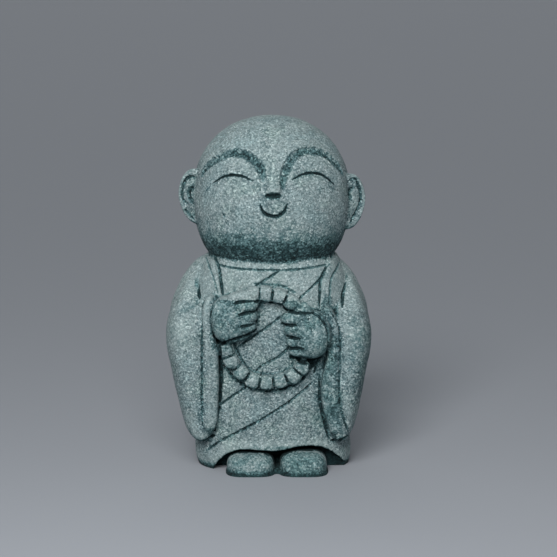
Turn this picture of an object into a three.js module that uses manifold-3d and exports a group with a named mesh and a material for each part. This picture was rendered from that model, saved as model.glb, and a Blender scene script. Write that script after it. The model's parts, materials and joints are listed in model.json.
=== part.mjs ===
// A small standing jizo, the monk-like guardian of travellers and children, cast in one piece of
// green-grey stone. It smiles with closed eyes, wears a draped robe with hanging sleeves, holds a
// ring of prayer beads in both fists, and its feet look out from under the hem.
// Millimetres, +Z up, the figure faces -Y. The origin is on the floor under the middle of its box.

import * as THREE from "three";
import { mergeVertices } from "three/addons/utils/BufferGeometryUtils.js";
import Module from "manifold-3d";

const wasm = await Module();
wasm.setup();

// Overall sizes of the figure.
const HEIGHT = 120;
const HEAD_HEIGHT = 54.8;
const HEAD_WIDTH = 53.8;
const HEAD_DEPTH = 50;
const JAW_SUNK = 7;
const ROBE_WIDTH = 54;
const ROBE_DEPTH = 44;
const SHOULDER_WIDTH = 67;
const SHOULDER_DEPTH = 32;
const SLEEVE_SPREAD = 9;

// Cloth edges and the grooves that draw them.
const CLOTH = 1.3;
const FOLD_GROOVE = 1.6;
const LAPEL_BAND = 3.2;
const SLEEVE_BAND = 5.2;

// The carved face.
const BROW_GROOVE = 2.9;
const EYE_GROOVE = 1.2;
const MOUTH_GROOVE = 1.5;
const NOSE_WIDTH = 5.4;
const NOSE_REACH = 2.5;
const EAR_HEIGHT = 18.8;
const EAR_WIDTH = 10.6;
const EAR_THICKNESS = 4.6;
const EAR_RIM = 2.4;

// The ring of beads, the hands that hold it, and the feet.
const RING_RADIUS = 14.8;
const BEADS_ROUND = 20;
const BEAD_WIDTH = 4.6;
const BEAD_GAP = 0.4;
const FINGER_WIDTH = 4.4;
const FOOT_WIDTH = 16.2;
const FOOT_LENGTH = 19;
const FOOT_HEIGHT = 6.7;
const FOOT_PLATE = 1.3;
const HEM_RECESS = 10;

// Levels and half sizes that the rest of the figure is placed by.
const collarZ = HEIGHT - HEAD_HEIGHT + JAW_SUNK;
const headX = HEAD_WIDTH / 2;
const headZ = HEAD_HEIGHT / 2;
const headMiddle = HEIGHT - headZ;
const robeX = ROBE_WIDTH / 2;
const robeY = ROBE_DEPTH / 2;

const stone = new THREE.MeshStandardMaterial({ color: 0x86999a, roughness: 0.95, metalness: 0 });

// A closed mesh as a solid that can be joined and cut.
function solidOf(geometry) {
  const bare = geometry.index ? geometry.toNonIndexed() : geometry.clone();
  bare.deleteAttribute("normal");
  bare.deleteAttribute("uv");
  const merged = mergeVertices(bare, 1e-4);
  return new wasm.Manifold(
    new wasm.Mesh({
      numProp: 3,
      vertProperties: new Float32Array(merged.attributes.position.array),
      triVerts: new Uint32Array(merged.index.array),
    }),
  );
}

const joined = (solids) => solids.reduce((sum, solid) => sum.add(solid));
const carved = (body, tools) => body.subtract(joined(tools));

function placed(geometry, centre, turn) {
  geometry.applyQuaternion(turn);
  geometry.translate(...centre);
  return solidOf(geometry);
}

// A rounded block: square 2 gives an ellipsoid, and a higher number a boxier one.
function loaf(size, square, sides, rings) {
  const geometry = new THREE.SphereGeometry(0.5, sides, rings);
  geometry.rotateX(Math.PI / 2);
  const place = geometry.attributes.position;
  const point = new THREE.Vector3();
  for (let i = 0; i < place.count; i++) {
    point.fromBufferAttribute(place, i);
    const sum = point.toArray().reduce((total, value) => total + Math.pow(2 * Math.abs(value), square), 0);
    point.divideScalar(Math.pow(sum, 1 / square));
    place.setXYZ(i, ...point);
  }
  return geometry.scale(...size);
}

// A form is a stack of levels. Each level says how far the form reaches left, right, front and
// back at its height, and square says how boxy its sections are.
const form = (square, levels) => ({ square, levels });

function levelOf(z, halfWidth, halfDepth) {
  return { z, left: -halfWidth, right: halfWidth, front: -halfDepth, back: halfDepth };
}

function levelAt({ levels }, z) {
  const next = levels.findIndex((level) => level.z >= z);
  const high = levels[next < 0 ? levels.length - 1 : Math.max(1, next)];
  const low = levels[levels.indexOf(high) - 1];
  const t = THREE.MathUtils.clamp((z - low.z) / (high.z - low.z), 0, 1);
  const reach = (key) => THREE.MathUtils.lerp(low[key], high[key], t);
  return { left: reach("left"), right: reach("right"), front: reach("front"), back: reach("back") };
}

// The front surface of a form, where the carving lies.
function frontOf(shape, x, z) {
  const { left, right, front, back } = levelAt(shape, z);
  const across = Math.abs((2 * x - left - right) / (right - left));
  const out = Math.pow(Math.max(0, 1 - Math.pow(across, shape.square)), 1 / shape.square);
  return (front + back - out * (back - front)) / 2;
}

// A cylinder whose rings are moved to the form's levels.
function column(shape, sides) {
  const steps = shape.levels.length - 1;
  const geometry = new THREE.CylinderGeometry(1, 1, 1, sides, steps);
  const place = geometry.attributes.position;
  const boxy = (value) => Math.sign(value) * Math.pow(Math.abs(value), 2 / shape.square);
  for (let i = 0; i < place.count; i++) {
    const { z, left, right, front, back } = shape.levels[Math.round((place.getY(i) + 0.5) * steps)];
    const x = (left + right + boxy(place.getX(i)) * (right - left)) / 2;
    const y = (front + back - boxy(place.getZ(i)) * (back - front)) / 2;
    place.setXYZ(i, x, y, z);
  }
  return solidOf(geometry);
}

// A smooth line on the front of a form, through places given by their x and z.
function lineOn(shape, places, step) {
  const flat = new THREE.SplineCurve(places.map(([x, z]) => new THREE.Vector2(x, z)));
  const count = Math.max(3, Math.ceil(flat.getLength() / step));
  return flat.getSpacedPoints(count).map(({ x, y }) => new THREE.Vector3(x, frontOf(shape, x, y), y));
}

// A round tool drawn along a line, which cuts a groove of its own width.
function groove(line, width, sides = 5) {
  const section = new THREE.EllipseCurve(0, 0, width / 2, width / 2).getPoints(sides).slice(1);
  const steps = line.length - 1;
  const extrudePath = new THREE.CatmullRomCurve3(line);
  const options = { steps, extrudePath, bevelEnabled: false };
  return solidOf(new THREE.ExtrudeGeometry(new THREE.Shape(section), options));
}

// The robe: a rounded column, fullest at the chest and drawn in to the collar. Each row is a
// height, a half width and a half depth, as shares of the collar's height and the robe's halves.
const ROBE_ROWS = [
  [0, 0.995, 0.91],
  [0.02, 1.01, 0.935],
  [0.17, 0.995, 0.945],
  [0.4, 0.99, 0.98],
  [0.66, 1, 1],
  [0.83, 0.955, 0.975],
  [0.915, 0.895, 0.94],
  [0.965, 0.835, 0.905],
  [1, 0.79, 0.865],
];
const ROBE_SQUARE = 2.6;
const robe = form(
  ROBE_SQUARE,
  ROBE_ROWS.map(([up, wide, deep]) => levelOf(up * collarZ, wide * robeX, deep * robeY)),
);

// The outer robe lies one cloth thicker on the shoulders and back, and thins out downwards.
const MANTLE_FOOT = 0.35;
const MANTLE_FULL = 0.8;
const MANTLE_UPS = [MANTLE_FOOT, 0.66, MANTLE_FULL, 0.915, 0.965, 1];
const mantle = form(
  ROBE_SQUARE,
  MANTLE_UPS.map((up) => {
    const under = levelAt(robe, up * collarZ);
    const thick = CLOTH * (2 * THREE.MathUtils.smoothstep(up, MANTLE_FOOT, MANTLE_FULL) - 1);
    return levelOf(up * collarZ, under.right + thick, under.back + thick);
  }),
);

// Shoulders and upper arms, one mass across the back of the neck, in rows as the robe's.
const SHOULDER_ROWS = [
  [0.5, 0.94, 0.7],
  [0.58, 1, 0.9],
  [0.68, 1.03, 0.98],
  [0.775, 1, 1],
  [0.835, 0.95, 0.97],
  [0.913, 0.86, 0.9],
  [0.952, 0.795, 0.83],
  [0.985, 0.71, 0.72],
  [1.005, 0.62, 0.6],
];
const SHOULDER_SHIFT = -0.9;
const SHOULDER_SQUARE = 2.3;
const shoulders = form(
  SHOULDER_SQUARE,
  SHOULDER_ROWS.map(([up, wide, deep]) => {
    const level = levelOf(up * collarZ, (wide * SHOULDER_WIDTH) / 2, (deep * SHOULDER_DEPTH) / 2);
    level.left += SHOULDER_SHIFT;
    level.right += SHOULDER_SHIFT;
    return level;
  }),
);

// A hanging sleeve. Each row is a height, how far the sleeve reaches out past the robe's side as
// a share of its spread, and its inner edge, front and back as shares of the robe's halves.
const SLEEVE_ROWS = [
  [0.145, -0.12, 0.79, 0.83, -0.3],
  [0.16, 0.04, 0.76, 0.88, -0.05],
  [0.19, 0.22, 0.715, 0.91, 0.12],
  [0.24, 0.4, 0.675, 0.94, 0.28],
  [0.35, 0.6, 0.645, 0.98, 0.42],
  [0.49, 0.82, 0.66, 1.01, 0.5],
  [0.61, 1, 0.685, 1.03, 0.54],
  [0.68, 0.97, 0.69, 1.03, 0.53],
  [0.735, 0.86, 0.7, 1, 0.5],
  [0.775, 0.66, 0.725, 0.93, 0.42],
  [0.795, 0.4, 0.78, 0.82, 0.28],
];
const SLEEVE_SQUARE = 2.7;
function sleeveForm(side) {
  const rows = SLEEVE_ROWS.map(([up, spread, inner, front, back]) => {
    const edges = [side * inner * robeX, side * (robeX + spread * SLEEVE_SPREAD) + SHOULDER_SHIFT / 2];
    return {
      z: up * collarZ,
      left: Math.min(...edges),
      right: Math.max(...edges),
      front: -front * robeY,
      back: back * robeY,
    };
  });
  return form(SLEEVE_SQUARE, rows);
}
const SIDES = [-1, 1];
const sleeves = new Map(SIDES.map((side) => [side, sleeveForm(side)]));

// The head: a full-cheeked ball, rounder at the crown than at the jaw.
const CROWN_SQUARE = 2.15;
const JAW_SQUARE = 2.65;
const HEAD_RINGS = 16;
function headLevel(rise) {
  const square = rise > 0 ? CROWN_SQUARE : THREE.MathUtils.lerp(CROWN_SQUARE, JAW_SQUARE, -rise);
  const ring = Math.pow(1 - Math.pow(Math.abs(rise), square), 1 / square);
  return levelOf(headMiddle + rise * headZ, ring * headX, (ring * HEAD_DEPTH) / 2);
}
// The last ring stops just short of the pole, so that it keeps a width.
const CROWN_RING = 0.998;
const HEAD_SQUARE = 2.2;
const head = form(
  HEAD_SQUARE,
  Array.from({ length: HEAD_RINGS + 1 }, (_, i) =>
    headLevel(CROWN_RING * Math.sin(Math.PI * (i / HEAD_RINGS - 0.5))),
  ),
);

// Places on the face are shares of the head's half width and half height, from the face's axis.
const FACE_AXIS = 0.028;
const onFace = (places, side) =>
  places.map(([u, v]) => [(FACE_AXIS + side * u) * headX, headMiddle + v * headZ]);
const BROW = [
  [0.1, 0.14],
  [0.125, 0.3],
  [0.185, 0.46],
  [0.295, 0.565],
  [0.45, 0.6],
  [0.6, 0.555],
  [0.74, 0.45],
  [0.85, 0.29],
];
const EYE = [
  [0.24, 0.275],
  [0.36, 0.325],
  [0.48, 0.338],
  [0.61, 0.3],
  [0.74, 0.22],
];
const MOUTH = [
  [-0.165, -0.025],
  [-0.115, -0.105],
  [0, -0.16],
  [0.115, -0.105],
  [0.165, -0.025],
];

// The nose: a wedge that leans out of the brow, widest and proudest where it ends, flat below.
const NOSE_FOOT = 0.105;
const NOSE_ROOT = 0.52;
function nose() {
  const [foot, root] = onFace([[0, NOSE_FOOT], [0, NOSE_ROOT]], 1).map(
    ([x, z]) => new THREE.Vector3(x, frontOf(head, x, z), z),
  );
  const half = NOSE_WIDTH / 2;
  foot.y += half - NOSE_REACH;
  root.y += half;
  const along = root.clone().sub(foot);
  const wedge = new THREE.CylinderGeometry(half, half, along.length(), 10, 1);
  const turn = new THREE.Quaternion().setFromUnitVectors(new THREE.Vector3(0, 1, 0), along.normalize());
  return placed(wedge, foot.add(root).multiplyScalar(0.5), turn);
}

// An ear: a thin shell turned a little forward, with a raised rim round a hollow.
const EAR_SEAT = 0.012;
const EAR_UNEVEN = 0.022;
const EAR_TURN = 0.5;
const EAR_HOLLOW = 0.5;
function ear(side) {
  const centre = new THREE.Vector3(
    side * headX * (1 + EAR_SEAT),
    0,
    headMiddle + (EAR_SEAT - side * EAR_UNEVEN) * headZ,
  );
  const turn = new THREE.Quaternion().setFromAxisAngle(new THREE.Vector3(0, 0, 1), side * EAR_TURN);
  const shell = loaf([EAR_WIDTH, EAR_THICKNESS, EAR_HEIGHT], 2, 12, 6);
  const rim = new THREE.TorusGeometry(0.5, EAR_RIM / 2 / EAR_WIDTH, 4, 16);
  rim.rotateX(Math.PI / 2);
  rim.scale(EAR_WIDTH - EAR_RIM, EAR_WIDTH, EAR_HEIGHT - EAR_RIM);
  rim.translate(0, -EAR_THICKNESS / 4, 0);
  const hollow = loaf([EAR_WIDTH * EAR_HOLLOW, EAR_THICKNESS, EAR_HEIGHT * EAR_HOLLOW], 2, 8, 6);
  hollow.translate(0, -EAR_THICKNESS / 2 - FOLD_GROOVE / 4, 0);
  return {
    whole: placed(shell, centre, turn).add(placed(rim, centre, turn)),
    hollow: placed(hollow, centre, turn),
  };
}

// Edges of the wrapped cloth, as shares of the robe's half width and of the collar's height.
const FOLDS = [
  [[0.13, 0.968], [-0.09, 0.93], [-0.33, 0.885]],
  [[0.66, 0.905], [0.355, 0.84], [0.06, 0.744], [-0.2, 0.672], [-0.41, 0.607]],
  [[0.29, 0.627], [0.06, 0.56], [-0.163, 0.49], [-0.34, 0.421], [-0.67, 0.323]],
  [[0.5, 0.427], [0.2, 0.342], [-0.08, 0.274], [-0.41, 0.2], [-0.69, 0.139], [-0.84, 0.08]],
];
const COLLAR_LINE = [[-0.7, 0.968], [-0.35, 0.964], [0, 0.962], [0.35, 0.968], [0.7, 0.985]];
const onRobe = (places) => places.map(([u, up]) => [u * robeX, up * collarZ]);

// The outer robe hangs open. Each lapel has a line along its edge and another beside it.
const LAPEL = [[0.6, MANTLE_FOOT], [0.6, 0.6], [0.61, 0.8], [0.65, 0.9], [0.74, 1.02]];
function chestOpening() {
  const edge = (side) => onRobe(LAPEL).map(([x, z]) => new THREE.Vector2(side * x, z));
  const outline = new THREE.Shape([...edge(-1), ...edge(1).reverse()]);
  const block = new THREE.ExtrudeGeometry(outline, { depth: ROBE_DEPTH, bevelEnabled: false });
  return solidOf(block.rotateX(Math.PI / 2));
}
const LAPEL_TOP = 0.985;
function lapelLines(side) {
  const upper = onRobe(LAPEL.slice(2)).map(([x, z]) => [side * x, Math.min(z, LAPEL_TOP * collarZ)]);
  const beside = upper.map(([x, z]) => [x + side * LAPEL_BAND, z]);
  return [[robe, upper], [mantle, beside]].map((line) => groove(lineOn(...line, 3.2), FOLD_GROOVE));
}

// The line that sets off the band along a sleeve's mouth.
function sleeveLine(side) {
  const sleeve = sleeves.get(side);
  const places = [0.2, 0.33, 0.47, 0.6, 0.73].map((up) => {
    const { left, right } = levelAt(sleeve, up * collarZ);
    return [(side < 0 ? right : left) + side * SLEEVE_BAND, up * collarZ];
  });
  return groove(lineOn(sleeve, places, 5), FOLD_GROOVE);
}

// The slit in the crook of each arm, above the forearm.
const CROOK = { u: 0.89, up: 0.825, size: [2, 6, 6.6] };
function crook(side) {
  const x = side * CROOK.u * robeX + SHOULDER_SHIFT / 2;
  const z = CROOK.up * collarZ;
  return solidOf(loaf(CROOK.size, 2, 8, 6).translate(x, frontOf(shoulders, x, z), z));
}

// Beads in a ring on the robe, each a short drum with its axis along the ring.
const RING_U = -0.07;
const RING_UP = 0.652;
const BEAD_PITCH = (2 * Math.PI) / BEADS_ROUND;
function ringPoint(angle) {
  const x = RING_U * robeX + RING_RADIUS * Math.cos(angle);
  const z = RING_UP * collarZ + RING_RADIUS * Math.sin(angle);
  return new THREE.Vector3(x, frontOf(robe, x, z) - BEAD_WIDTH / 4, z);
}
function bead(angle) {
  const long = (RING_RADIUS * BEAD_PITCH - BEAD_GAP) / 2;
  const wide = BEAD_WIDTH / 2;
  const profile = [[0, -1], [0.85, -0.88], [1, 0], [0.85, 0.88], [0, 1]];
  const drum = new THREE.LatheGeometry(profile.map(([r, y]) => new THREE.Vector2(r * wide, y * long)), 7);
  const ahead = ringPoint(angle + BEAD_PITCH / 2).sub(ringPoint(angle - BEAD_PITCH / 2)).normalize();
  const turn = new THREE.Quaternion().setFromUnitVectors(new THREE.Vector3(0, 1, 0), ahead);
  return placed(drum, ringPoint(angle), turn);
}
// Ten beads hang below the hands and six run between them: where each strand starts, in turns.
const STRANDS = [
  { from: 0.495, count: 10 },
  { from: 0.07, count: 6 },
];
const strand = ({ from, count }) =>
  Array.from({ length: count }, (_, i) => bead(2 * Math.PI * from + i * BEAD_PITCH));

// A fist: the back of the hand and four stacked fingers that reach to the middle of the figure.
const FISTS = [
  { side: -1, u: -0.55, up: 0.746, size: [11.6, 12, 15.6], tip: 10.2, lift: 0.2 },
  { side: 1, u: 0.475, up: 0.668, size: [13.4, 12.4, 16.6], tip: 8.6, lift: -0.6 },
];
const FIST_SQUARE = 2.3;
const FIST_OUT = 2.2;
const FINGER_PITCH = 0.9;
const FINGER_TAPER = 0.4;
function fist({ side, u, up, size, tip, lift }) {
  const centre = new THREE.Vector3(u * robeX, 0, up * collarZ);
  centre.y = frontOf(robe, centre.x, centre.z) - FIST_OUT;
  const along = new THREE.Quaternion().setFromAxisAngle(new THREE.Vector3(0, 0, 1), Math.PI / 2);
  const fingers = [0, 1, 2, 3].map((i) => {
    const length = tip - FINGER_WIDTH / 2 - i * FINGER_TAPER;
    const capsule = new THREE.CapsuleGeometry(FINGER_WIDTH / 2, length, 2, 8);
    const knuckle = new THREE.Vector3(-side * length, FINGER_WIDTH - size[1], 0).multiplyScalar(0.5);
    knuckle.z = lift + (1.5 - i) * FINGER_PITCH * FINGER_WIDTH;
    return placed(capsule, knuckle.add(centre), along);
  });
  return joined([solidOf(loaf(size, FIST_SQUARE, 14, 8).translate(...centre)), ...fingers]);
}

// The feet, flat loaves cut off by the floor, and the arch of the hem over each.
const FEET = [
  { u: -0.26, lift: 0, arch: { u: -0.26, half: 0.48, up: 0.113 } },
  { u: 0.4, lift: 0.5, arch: { u: 0.425, half: 0.455, up: 0.119 } },
];
const FOOT_SQUARE = 2.5;
const FOOT_ROUND = 1.44;
const FOOT_TUCK = 0.16;
const hemY = frontOf(robe, 0, 0);
function foot({ u, lift }) {
  const top = FOOT_HEIGHT + lift;
  const size = [FOOT_WIDTH, FOOT_LENGTH, top * FOOT_ROUND];
  const centre = [u * robeX, hemY + FOOT_LENGTH * FOOT_TUCK, top - size[2] / 2];
  return solidOf(loaf(size, FOOT_SQUARE, 16, 8).translate(...centre));
}
function hemArch({ arch: { u, half, up } }) {
  const outline = new THREE.Shape();
  outline.absellipse(0, 0, half * robeX, up * collarZ - FOOT_PLATE, 0, Math.PI, false);
  outline.closePath();
  const options = { depth: ROBE_DEPTH, bevelEnabled: false, curveSegments: 10 };
  const block = new THREE.ExtrudeGeometry(outline, options);
  return solidOf(block.rotateX(Math.PI / 2).translate(u * robeX, hemY + HEM_RECESS, FOOT_PLATE));
}
function groundBlock() {
  const block = new THREE.BoxGeometry(2 * SHOULDER_WIDTH, 2 * SHOULDER_WIDTH, HEIGHT);
  return solidOf(block.translate(0, 0, -HEIGHT / 2));
}

function clothes() {
  const inner = carved(column(robe, 36), [
    ...FEET.map(hemArch),
    ...FOLDS.map((fold) => groove(lineOn(robe, onRobe(fold), 3), FOLD_GROOVE)),
    groove(lineOn(robe, onRobe(COLLAR_LINE), 3.6), FOLD_GROOVE),
  ]);
  const outer = column(mantle, 36).add(column(shoulders, 26)).subtract(chestOpening());
  const arms = SIDES.map((side) => column(sleeves.get(side), 22).subtract(sleeveLine(side)));
  return carved(joined([inner, outer, ...arms]), [...SIDES.map(crook), ...SIDES.flatMap(lapelLines)]);
}

function carvedHead() {
  const ears = SIDES.map(ear);
  const ball = joined([column(head, 32), nose(), ...ears.map(({ whole }) => whole)]);
  return carved(ball, [
    ...SIDES.map((side) => groove(lineOn(head, onFace(BROW, side), 3), BROW_GROOVE)),
    ...SIDES.map((side) => groove(lineOn(head, onFace(EYE, side), 2.8), EYE_GROOVE, 4)),
    groove(lineOn(head, onFace(MOUTH, 1), 1.6), MOUTH_GROOVE),
    ...ears.map(({ hollow }) => hollow),
  ]);
}

const held = [...STRANDS.flatMap(strand), ...FISTS.map(fist)];
const figure = joined([clothes(), ...held, ...FEET.map(foot), carvedHead()]).subtract(groundBlock());

const surface = figure.getMesh();
const geometry = new THREE.BufferGeometry();
geometry.setAttribute("position", new THREE.BufferAttribute(new Float32Array(surface.vertProperties), 3));
geometry.setIndex(new THREE.BufferAttribute(new Uint32Array(surface.triVerts), 1));
geometry.computeVertexNormals();
geometry.computeBoundingBox();
const middle = geometry.boundingBox.getCenter(new THREE.Vector3());

const statue = new THREE.Mesh(geometry, stone);
statue.name = "jizo_statue";
statue.position.set(-middle.x, -middle.y, 0);

const part = new THREE.Group();
part.add(statue);
export default part;
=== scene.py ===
# %% [markdown]
# # A small stone jizo, from rough blocks to the weathered surface
# The real thing is one casting of green-grey stone that fits in a hand. Nothing on it moves, so the
# imported model has one solid and one body, and the statue made here takes that solid's place.
# A carver starts from a few big blocks, softens where they meet, and only then cuts the fine lines.
# This file goes the same way: blocks, one skin over them, cut lines, grain, and last the colour.
# The imported model is loaded first.

# %% The imported model is the frame
import json
import math
from collections import namedtuple

import bmesh
import bpy
import numpy as np
from mathutils import Euler, Matrix, Vector
from mathutils.bvhtree import BVHTree
from mathutils.kdtree import KDTree

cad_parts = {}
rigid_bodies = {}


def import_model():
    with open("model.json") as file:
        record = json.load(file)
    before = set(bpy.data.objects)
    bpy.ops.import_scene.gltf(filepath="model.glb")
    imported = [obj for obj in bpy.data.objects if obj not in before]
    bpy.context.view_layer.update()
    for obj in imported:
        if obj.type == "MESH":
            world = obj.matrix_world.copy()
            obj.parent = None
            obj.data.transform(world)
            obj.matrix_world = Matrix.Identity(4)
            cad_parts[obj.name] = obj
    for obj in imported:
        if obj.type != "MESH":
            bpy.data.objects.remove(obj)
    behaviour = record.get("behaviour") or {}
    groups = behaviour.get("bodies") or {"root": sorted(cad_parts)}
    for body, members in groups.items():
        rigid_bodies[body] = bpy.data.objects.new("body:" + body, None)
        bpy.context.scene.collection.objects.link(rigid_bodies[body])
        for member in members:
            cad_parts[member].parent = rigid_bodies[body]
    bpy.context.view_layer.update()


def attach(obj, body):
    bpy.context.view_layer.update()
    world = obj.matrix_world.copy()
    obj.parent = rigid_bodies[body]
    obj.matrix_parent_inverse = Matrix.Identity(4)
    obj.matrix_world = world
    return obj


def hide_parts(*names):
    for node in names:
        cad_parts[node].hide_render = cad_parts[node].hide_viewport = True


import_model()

# %% [markdown]
# ## Sizes
# The blocks are worked in millimetres, since primitives and the remesh behave best at that scale.
# The finished statue is brought to metres in one move at the end. The figure's own middle lies a
# little beside the middle of its box, because the arms and feet aren't even, so that same move
# also sets it over. Heights on the clothes are shares of the collar's height, and places across
# them are shares of half the robe's width. The solid was made from nearly the same numbers.

# %% Main sizes in millimetres
MILLIMETRE = 0.001
AXIS = Vector((0.45, 2.04, 0))
HEIGHT = 120
HEAD_WIDTH, HEAD_DEPTH, HEAD_HEIGHT = 53.8, 50, 54.8
ROBE_WIDTH, ROBE_DEPTH = 54, 44
SHOULDER_WIDTH, SHOULDER_DEPTH = 67, 32
COLLAR = HEIGHT - HEAD_HEIGHT + 7
HEAD_MIDDLE = HEIGHT - HEAD_HEIGHT / 2
CLOTH = 1.3
print("collar at", COLLAR, "mm, middle of the head at", HEAD_MIDDLE, "mm")

# %% [markdown]
# ## The camera
# The photograph looks down on the figure by about nine degrees from well away, so the lens is long
# and the picture has little perspective. The camera is set first, because every later look at the
# work is through it.

# %% Camera
CAMERA_DROP = math.radians(9)
CAMERA_AWAY = 700
FOCAL_LENGTH = 131.06
AIM = Vector((2.4, 0, 63.65)) + AXIS

lens = bpy.data.cameras.new("camera")
lens.sensor_width = 36
lens.lens = FOCAL_LENGTH
lens.clip_start = 0.01
lens.clip_end = 200
camera = bpy.data.objects.new("camera", lens)
bpy.context.scene.collection.objects.link(camera)
backwards = Vector((0, -math.cos(CAMERA_DROP), math.sin(CAMERA_DROP)))
camera.location = (AIM + CAMERA_AWAY * backwards) * MILLIMETRE
camera.rotation_euler = (math.pi / 2 - CAMERA_DROP, 0, 0)
bpy.context.scene.camera = camera
print("camera at", [round(v, 3) for v in camera.location])

# %% [markdown]
# ## Helpers for rough blocks
# Robe, shoulders and sleeves are all stacks of levels: at each height the block reaches so far
# left, right, front and back. One way to make them is to loft drawn sections, another is to start
# from a cylinder, cut its sides into many rings, and move each ring to its level. The second keeps
# clean even faces, so a drawn list of a few levels is enough and a smooth curve fills in between.

# %% Levels and the smooth curve between them
Block = namedtuple("Block", "rows square")


def even_rows(rows, half_width, half_depth):
    """Rows of height share, width share and depth share, as height, left, right, front, back."""
    return np.array([
        [up * COLLAR, -w * half_width, w * half_width, -d * half_depth, d * half_depth]
        for up, w, d in rows
    ])


def reach_at(block, heights):
    """How far the block reaches left, right, front and back at each height."""
    rows = block.rows
    marks = rows[:, 0]
    slopes = np.gradient(rows, marks, axis=0)
    low = np.clip(np.searchsorted(marks, heights) - 1, 0, len(marks) - 2)
    span = (marks[low + 1] - marks[low])[:, None]
    t = np.clip((heights - marks[low])[:, None] / span, 0, 1)
    start = (2 * t**3 - 3 * t**2 + 1) * rows[low] + (t**3 - 2 * t**2 + t) * span * slopes[low]
    end = (3 * t**2 - 2 * t**3) * rows[low + 1] + (t**3 - t**2) * span * slopes[low + 1]
    return (start + end)[:, 1:].T


def front_at(block, x, z):
    """The y of the block's front at one place or at many."""
    left, right, front, back = reach_at(block, np.atleast_1d(z).astype(float))
    across = np.minimum(1, np.abs((2 * x - left - right) / (right - left)))
    y = (front + back - (1 - across**block.square) ** (1 / block.square) * (back - front)) / 2
    return y if len(y) > 1 else float(y[0])


# %% [markdown]
# ## Helpers for points and for ringed cylinders
# An operator acts on all that is selected, so one helper selects a piece and nothing else. Moving
# thousands of points one at a time is slow, so they are read as one table of numbers, moved
# together, and written back. A cylinder has no rings between its ends until its upright edges are
# cut, and robe, sleeves and turned edges all need those rings.

# %% Reading and moving a piece's points
def spots_of(piece):
    """All points of a piece as a table with columns x, y and z."""
    flat = np.empty(len(piece.data.vertices) * 3, dtype=np.float32)
    piece.data.vertices.foreach_get("co", flat)
    return flat.reshape(-1, 3).astype(float)


def move_spots(piece, spots):
    """Writes a table of points back to the piece."""
    piece.data.vertices.foreach_set("co", np.asarray(spots, dtype=np.float32).ravel())
    piece.data.update()


def only(piece):
    """Selects one piece and nothing else, since an operator acts on all that is selected."""
    bpy.ops.object.select_all(action="DESELECT")
    piece.select_set(True)
    bpy.context.view_layer.objects.active = piece


def boxy(values, square):
    """Pushes numbers from -1 to 1 outwards, which turns a circle into a rounded box."""
    return np.sign(values) * np.abs(values) ** (2 / square)


# %% A cylinder with rings
def ringed_cylinder(name, around, rings):
    """A cylinder two high and two wide whose upright edges are cut into rings."""
    bpy.ops.object.select_all(action="DESELECT")
    bpy.ops.mesh.primitive_cylinder_add(vertices=around, radius=1, depth=2)
    piece = bpy.context.object
    piece.name = name
    bpy.ops.object.mode_set(mode="EDIT")
    bpy.ops.mesh.select_mode(type="EDGE")
    bpy.ops.mesh.select_all(action="DESELECT")
    edit = bmesh.from_edit_mesh(piece.data)
    for edge in edit.edges:
        if abs(edge.verts[0].co.z - edge.verts[1].co.z) > 1:
            edge.select_set(True)
    bpy.ops.mesh.subdivide(number_cuts=rings)
    bpy.ops.object.mode_set(mode="OBJECT")
    return piece


# %% A column from levels
def column(name, block, around=128, ring_step=0.7):
    """A ringed cylinder whose rings are moved out to the block's levels."""
    bottom, top = block.rows[0, 0], block.rows[-1, 0]
    piece = ringed_cylinder(name, around, int((top - bottom) / ring_step))
    unit = spots_of(piece)
    height = bottom + (unit[:, 2] + 1) / 2 * (top - bottom)
    left, right, front, back = reach_at(block, height)
    x = (left + right + boxy(unit[:, 0], block.square) * (right - left)) / 2
    y = (front + back + boxy(unit[:, 1], block.square) * (back - front)) / 2
    move_spots(piece, np.column_stack([x, y, height]))
    print(name, "has", len(piece.data.vertices), "points")
    return piece


# %% [markdown]
# ## Helpers for round parts and for finishing
# Hands, feet, beads and ears are all rounded lumps between a ball and a box. A box with a bevel
# keeps flat sides that no worn stone has. A sphere whose points are pushed out to a squarer
# outline has none, and one number sets how square it gets. Modifiers are then applied one by one.

# %% A rounded loaf, for hands, feet, beads and ears
def loaf(name, size, centre, square=2.0, turn=(0, 0, 0), rings=40):
    """Square 2 is an ellipsoid, and more is boxier. Turns are in degrees."""
    bpy.ops.object.select_all(action="DESELECT")
    bpy.ops.mesh.primitive_uv_sphere_add(segments=2 * rings, ring_count=rings, radius=1)
    piece = bpy.context.object
    piece.name = name
    unit = spots_of(piece)
    unit /= (np.abs(unit) ** square).sum(axis=1, keepdims=True) ** (1 / square)
    move_spots(piece, unit * np.array(size) / 2)
    turned = Euler([math.radians(angle) for angle in turn]).to_matrix().to_4x4()
    piece.data.transform(Matrix.Translation(centre) @ turned)
    return piece


# %% Finishing a block with a modifier
def finish_with(piece, kind, **settings):
    """Adds one modifier with its settings, and applies it."""
    only(piece)
    step = piece.modifiers.new(kind.lower(), kind)
    for name, value in settings.items():
        setattr(step, name, value)
    bpy.ops.object.modifier_apply(modifier=step.name)
    print(piece.name, "after", kind.lower(), "has", len(piece.data.vertices), "points")


def cut_with(piece, cutter):
    """Cuts one block by another, and throws the cutter away."""
    finish_with(piece, "BOOLEAN", operation="DIFFERENCE", object=cutter, solver="EXACT")
    bpy.data.objects.remove(cutter)


# %% [markdown]
# ## The robe
# The inner robe is a rounded column that is fullest at the chest. Its lowest ring is set a little
# under the floor, so that the last cut at floor level leaves a flat foot with a clean edge. At the
# foot its left side is drawn in a little, since the real one doesn't stand quite even.

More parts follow.
